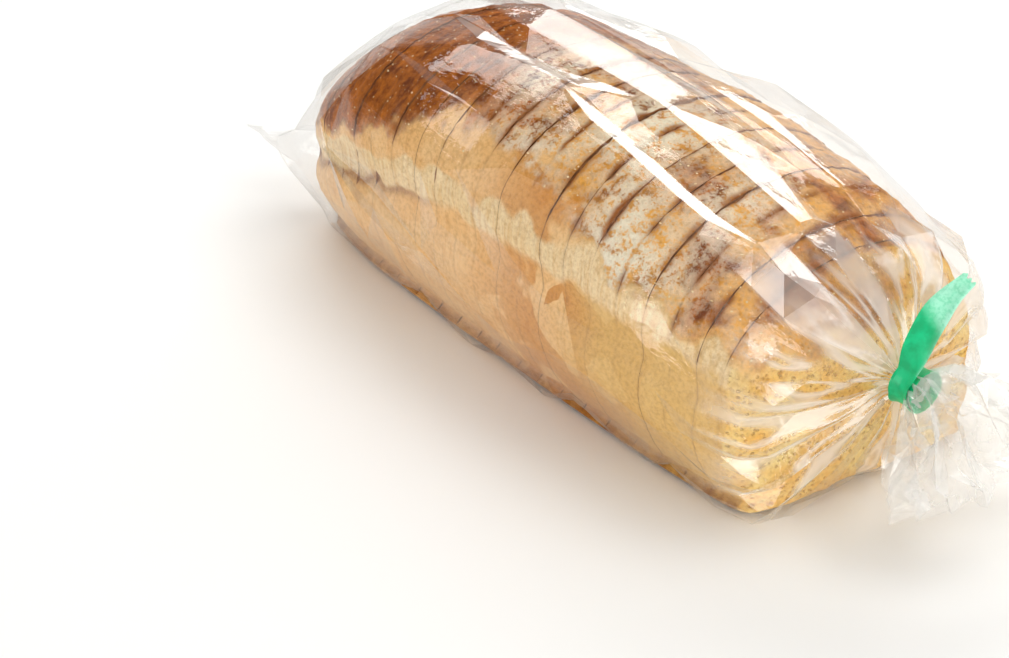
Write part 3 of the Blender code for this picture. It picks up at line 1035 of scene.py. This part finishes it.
def makeFrill(material):
    # the gathered end of the bag past the tie: a drooping fan of crisp, crumpled facets
    dice = random.Random(frill["seed"])
    around, rows = frill["folds"] * 2, frill["rows"]
    heights = [dice.uniform(0.5, 1.1) * (1 if k % 2 else -1) for k in range(around)]
    turns = [(k + dice.uniform(-0.3, 0.3)) / around * 2 * math.pi for k in range(around)]
    solid = []
    middle = np.array(frill["start"])
    step = frill["length"] / rows
    for row in range(rows + 1):
        share = row / rows
        angle = math.radians(frill["droop"]) * smoothStep(0, 0.55, share)
        roll = math.radians(frill["roll"]) * share
        ahead = np.array((math.cos(angle), 0, -math.sin(angle)))
        level = np.array((math.sin(angle), 0, math.cos(angle)))
        side = np.array((0.0, math.cos(roll), 0)) + level * math.sin(roll)
        up = level * math.cos(roll) - np.array((0.0, math.sin(roll), 0))
        if row:
            middle = middle + ahead * step + np.array((0, frill["sidestep"] / rows, 0))
        narrow = frill["startRadius"]
        wide = narrow + (frill["halfWidth"] - narrow) * min(1, share / 0.75) ** 0.75
        thick = narrow + (frill["halfThick"] - narrow) * min(1, share / 0.4) ** 0.6
        depth = frill["foldDepth"] * smoothStep(-0.1, 0.5, share)
        loose = frill["crumple"] * smoothStep(0.05, 0.4, share)
        for k in range(around):
            turn = turns[k] + dice.uniform(-0.3, 0.3) / around * 2 * math.pi * share
            reach = 1 + depth * heights[k] * dice.uniform(0.7, 1.3)
            spot = middle + side * math.cos(turn) * wide * (1 + (reach - 1) * 0.5)
            spot = spot + up * math.sin(turn) * thick * reach
            spot = spot + ahead * dice.uniform(-0.3, 0.3) * step * share
            solid.append(spot + np.array([dice.uniform(-1, 1) * loose for _ in range(3)]))
    solid = np.array(solid)
    triangles = []
    for row in range(rows):
        for k in range(around):
            a, b = row * around + k, row * around + (k + 1) % around
            c, d = a + around, b + around
            triangles += [[a, b, d], [a, d, c]] if (row + k) % 2 else [[a, b, c], [b, d, c]]
    points, faces = fineFacets(triangles, frill["cuts"], lambda share, picked: share @ solid[picked])
    points += frill["wrinkle"] * np.column_stack([noiseAt(points, 0.006, seed) for seed in (1.5, 4.5, 8.5)])
    points[:, 2] = np.maximum(points[:, 2], 0.0006)
    piece = makePiece("bagFrill", points + loafOrigin, faces, (material,))
    weldFilm(piece, film["sharpAngle"])
    spots = np.array([vertex.co for vertex in piece.data.vertices]) - loafOrigin - np.array(frill["start"])
    # whiter film near the tie: partly haze of layered film, partly painted highlight
    addMask(piece, "gatherHazeAndGlare", smoothStep(0.016, 0.002, np.linalg.norm(spots, axis=1)))
    return piece


tie = {
    "width": 0.0098, "thickness": 0.00035, "cupping": 0.0009,
    "neckRadius": 0.0062, "turns": 1.3,
    "windingSteps": 90, "tailSteps": 40, "columns": 13,
    "leaveAngle": 150, "tailLength": 0.044, "steep": 78, "flat": 26, "twist": 48,
    "green": tint(0, 196, 130), "deepGreen": tint(0, 168, 106), "paleGreen": tint(176, 240, 214),
}


def makeTapeMaterial():
    look = Shading("tieTape")
    tip = look.mask("tip")
    fine, broad = look.grain(0.0012, 4), look.grain(0.006, 3)
    colour = look.mix(look.spread(broad, 0.35, 0.65), tie["green"], tie["deepGreen"])
    colour = look.mix(look.times(tip, look.spread(fine, 0.3, 0.6, 0.6, 1)), colour, tie["paleGreen"])
    shader = look.add("ShaderNodeBsdfPrincipled")
    look.feed(shader.inputs["Base Color"], colour)
    look.feed(shader.inputs["Roughness"], look.spread(broad, 0.3, 0.7, 0.34, 0.48))
    shader.inputs["Specular IOR Level"].default_value = 0.25
    look.feed(shader.inputs["Normal"], look.bump(look.grain(0.0009, 3, 0.5, (1, 0.3, 1)), 0.00012))
    shader.inputs["Coat Weight"].default_value = 0.1
    look.feed(look.output.inputs["Surface"], shader.outputs[0])
    return look.material


def tapePath():
    # middle line of the tape: round the neck, then up and over into the tail
    neck = np.array((film["neckAt"] + 0.006, *film["neckMiddle"]))
    endAngle = math.radians(tie["leaveAngle"])
    path = []
    for k in range(tie["windingSteps"]):
        share = k / (tie["windingSteps"] - 1)
        angle = endAngle + (1 - share) * tie["turns"] * 2 * math.pi
        radius = tie["neckRadius"] + 0.0012 * share
        path.append(neck + radius * np.array((0, math.cos(angle), math.sin(angle))))
    spot = path[-1]
    for k in range(tie["tailSteps"]):
        share = (k + 1) / tie["tailSteps"]
        turn = math.radians(tie["steep"] + (tie["flat"] - tie["steep"]) * smoothStep(0.35, 0.95, share))
        turn += (endAngle - math.pi / 2 - turn) * (1 - smoothStep(0, 0.12, share))
        spot = spot + np.array((0.12, math.cos(turn), math.sin(turn))) * tie["tailLength"] / tie["tailSteps"]
        path.append(spot)
    return np.array(path)


def tapeFaces(rows, columns):
    # both sides of the tape, its two long edges and its two ends
    layer = rows * columns
    faces = []
    for k in range(rows - 1):
        for c in range(columns - 1):
            a = k * columns + c
            faces.append((a, a + 1, a + columns + 1, a + columns))
            faces.append((layer + a, layer + a + columns, layer + a + columns + 1, layer + a + 1))
        for c in (0, columns - 1):
            a = k * columns + c
            faces.append((a, a + columns, layer + a + columns, layer + a))
    for k in (0, rows - 1):
        for c in range(columns - 1):
            a = k * columns + c
            faces.append((a, a + 1, layer + a + 1, layer + a))
    return faces


def makeTie(material):
    # a strip of tape wound round the neck, with a long tail that leaves up over the top
    path = tapePath()
    count, steps, columns = (tie[key] for key in ("windingSteps", "tailSteps", "columns"))
    forward = np.gradient(path, axis=0)
    forward /= np.linalg.norm(forward, axis=1, keepdims=True)
    twist = math.radians(tie["twist"]) * smoothStep(0.05, 0.6, (np.arange(len(path)) - count) / steps)
    across = np.column_stack((np.cos(twist), np.sin(twist), np.zeros(len(path))))
    across -= forward * (across * forward).sum(1)[:, None]
    across /= np.linalg.norm(across, axis=1, keepdims=True)
    outward = np.cross(forward, across)
    points, tips = [], []
    for side in (1, -1):
        for k in range(len(path)):
            tail = max(0, (k - count) / steps)
            pinch = 1 - 0.30 * math.exp(-((k - count + 2) / 9) ** 2)
            pinch *= 1 - 0.45 * smoothStep(0.55, 1.0, tail)
            half = tie["width"] / 2 * pinch
            for c in range(columns):
                share = c / (columns - 1) * 2 - 1
                crimp = 0.0007 * math.sin(share * 5 + k * 0.22) * (0.3 + tail)
                ragged = 0.0011 * math.sin(share * 9 + 1) * max(0, tail - 0.93) / 0.07
                lift = side * tie["thickness"] / 2 + (crimp - tie["cupping"]) * share ** 2
                spot = path[k] + across[k] * share * half + forward[k] * ragged
                points.append(spot + outward[k] * lift)
                paleEnd = 0.8 * smoothStep(0.50, 0.66, tail + 0.06 * share)
                paleEdge = 0.5 * smoothStep(0.8, 0.95, share) * (tail > 0.1)
                tips.append(paleEnd + paleEdge)
    piece = makePiece("tapeTie", np.array(points) + loafOrigin, tapeFaces(len(path), columns), (material,))
    shape = bmesh.new()
    shape.from_mesh(piece.data)
    bmesh.ops.recalc_face_normals(shape, faces=shape.faces)
    shape.to_mesh(piece.data)
    shape.free()
    piece.data.shade_smooth()
    piece.data.set_sharp_from_angle(angle=math.radians(50))
    addMask(piece, "tip", tips)
    return piece


studio = {
    "floorColours": ((0.93, 0.93, 0.925, 1), (0.95, 0.95, 0.95, 1)), "floorHalf": 12,
    "fill": 0.265,
    # what the film mirrors: a bright horizon under a dark room
    "skyLow": 1.25, "skyHigh": 0.36, "skySpan": (0.05, 0.55),
    "darkSide": (-0.86, -0.22, 0.46), "darkStrength": 0.10, "darkSpan": (0.80, 0.91),
    "roomColour": (1, 0.992, 0.965, 1), "lampColour": (1, 0.99, 0.965),
    # direction from the loaf, distance, width, height, roll in degrees, brightness
    "softboxes": {
        "backBox": ((-0.52, 0.556, 0.64), 1.35, 1.70, 0.48, 16, 4.7),
        "nearBox": ((0.34, 0.36, 0.86), 1.25, 0.66, 0.46, 0, 4.5),
        "topBox": ((0.05, 0.02, 1.0), 1.40, 1.00, 0.60, 25, 1.9),
        "leftCard": ((-0.60, -0.62, 0.50), 1.30, 0.46, 0.34, 10, 3.0),
        "frontBox": ((0.20, -0.94, 0.17), 1.60, 1.30, 0.44, 0, 4.8),
        "rightBox": ((0.95, 0.00, 0.30), 1.50, 1.00, 0.80, 0, 3.2),
    },
    "cameraAt": (0.55313, -0.52083, 0.52941),
    "lookAlong": (-0.63055, 0.52289, -0.57358),
    "lens": 85.63,
}


def softboxPlace(name):
    # middle of a softbox and its turn, aimed at the loaf
    direction, distance, _, _, roll, _ = studio["softboxes"][name]
    aim = Vector((0, 0, 0.05))
    middle = aim + Vector(direction).normalized() * distance
    turned = (aim - middle).to_track_quat("-Z", "Y")
    return middle, turned @ Quaternion((0, 0, 1), math.radians(roll))


def makeStudio():
    look = Shading("paleFloor")
    shader = look.add("ShaderNodeBsdfPrincipled")
    look.feed(shader.inputs["Base Color"], look.mix(look.grain(0.3, 2), *studio["floorColours"]))
    shader.inputs["Roughness"].default_value = 0.55
    shader.inputs["Specular IOR Level"].default_value = 0.3
    look.feed(look.output.inputs["Surface"], shader.outputs[0])
    half = studio["floorHalf"]
    corners = [(-half, -half, 0), (half, -half, 0), (half, half, 0), (-half, half, 0)]
    floor = makePiece("floor", corners, [(0, 1, 2, 3)], (look.material,), False)

    world = bpy.data.worlds.new("studioRoom")
    bpy.context.scene.world = world
    world.use_nodes = True
    tree = world.node_tree
    back = tree.nodes["Background"]
    place = tree.nodes.new("ShaderNodeTexCoord")
    split = tree.nodes.new("ShaderNodeSeparateXYZ")
    ramp = tree.nodes.new("ShaderNodeMapRange")
    ramp.interpolation_type = "SMOOTHSTEP"
    tree.links.new(place.outputs["Generated"], split.inputs[0])
    tree.links.new(split.outputs["Z"], ramp.inputs["Value"])
    ramp.inputs["From Min"].default_value, ramp.inputs["From Max"].default_value = studio["skySpan"]
    ramp.inputs["To Min"].default_value = studio["skyLow"]
    ramp.inputs["To Max"].default_value = studio["skyHigh"]
    side = tree.nodes.new("ShaderNodeVectorMath")
    side.operation = "DOT_PRODUCT"
    side.inputs[1].default_value = Vector(studio["darkSide"]).normalized()
    tree.links.new(place.outputs["Generated"], side.inputs[0])
    shade = tree.nodes.new("ShaderNodeMapRange")
    shade.interpolation_type = "SMOOTHSTEP"
    shade.inputs["From Min"].default_value, shade.inputs["From Max"].default_value = studio["darkSpan"]
    shade.inputs["To Min"].default_value = 1
    shade.inputs["To Max"].default_value = studio["darkStrength"]
    tree.links.new(side.outputs["Value"], shade.inputs["Value"])
    total = tree.nodes.new("ShaderNodeMath")
    total.operation = "MULTIPLY"
    tree.links.new(ramp.outputs["Result"], total.inputs[0])
    tree.links.new(shade.outputs["Result"], total.inputs[1])
    rays = tree.nodes.new("ShaderNodeLightPath")
    pick = tree.nodes.new("ShaderNodeMix")
    tree.links.new(rays.outputs["Is Glossy Ray"], pick.inputs[0])
    pick.inputs[2].default_value = studio["fill"]
    tree.links.new(total.outputs[0], pick.inputs[3])
    tree.links.new(pick.outputs[0], back.inputs["Strength"])
    back.inputs["Color"].default_value = studio["roomColour"]

    for name, (_, _, width, height, _, brightness) in studio["softboxes"].items():
        lamp = bpy.data.lights.new(name, "AREA")
        lamp.shape = "RECTANGLE"
        lamp.size, lamp.size_y = width, height
        lamp.energy = brightness * math.pi * width * height
        lamp.color = studio["lampColour"]
        holder = bpy.data.objects.new(name, lamp)
        holder.location, turned = softboxPlace(name)
        holder.rotation_euler = turned.to_euler()
        bpy.context.scene.collection.objects.link(holder)

    lens = bpy.data.cameras.new("camera")
    lens.lens = studio["lens"]
    lens.sensor_width = 36
    lens.clip_start = 0.01
    lens.clip_end = 60
    camera = bpy.data.objects.new("camera", lens)
    camera.location = studio["cameraAt"]
    camera.rotation_euler = Vector(studio["lookAlong"]).to_track_quat("-Z", "Y").to_euler()
    bpy.context.scene.collection.objects.link(camera)
    bpy.context.scene.camera = camera
    bpy.context.scene.view_settings.view_transform = "Standard"
    bpy.context.scene.cycles.transparent_max_bounces = 24


makeStudio()
print("studio ready")
slices = makeLoaf()
print("loaf:", len(slices), "slices")
crustFlecks = makeFlecks(slices, makeFleckMaterial())
bagFilm = makeFilm(makeFilmMaterial("clearFilm", *filmFinish["clear"]))
bagFrill = makeFrill(makeFilmMaterial("crumpledFilm", *filmFinish["crumpled"]))
tapeTie = makeTie(makeTapeMaterial())

for piece in slices:
    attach(piece, "root")
    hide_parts("bag")
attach(crustFlecks, "root")
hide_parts("bag")
for piece in (bagFilm, bagFrill):
    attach(piece, "root")
    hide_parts("bag")
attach(tapeTie, "root")
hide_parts("tie")
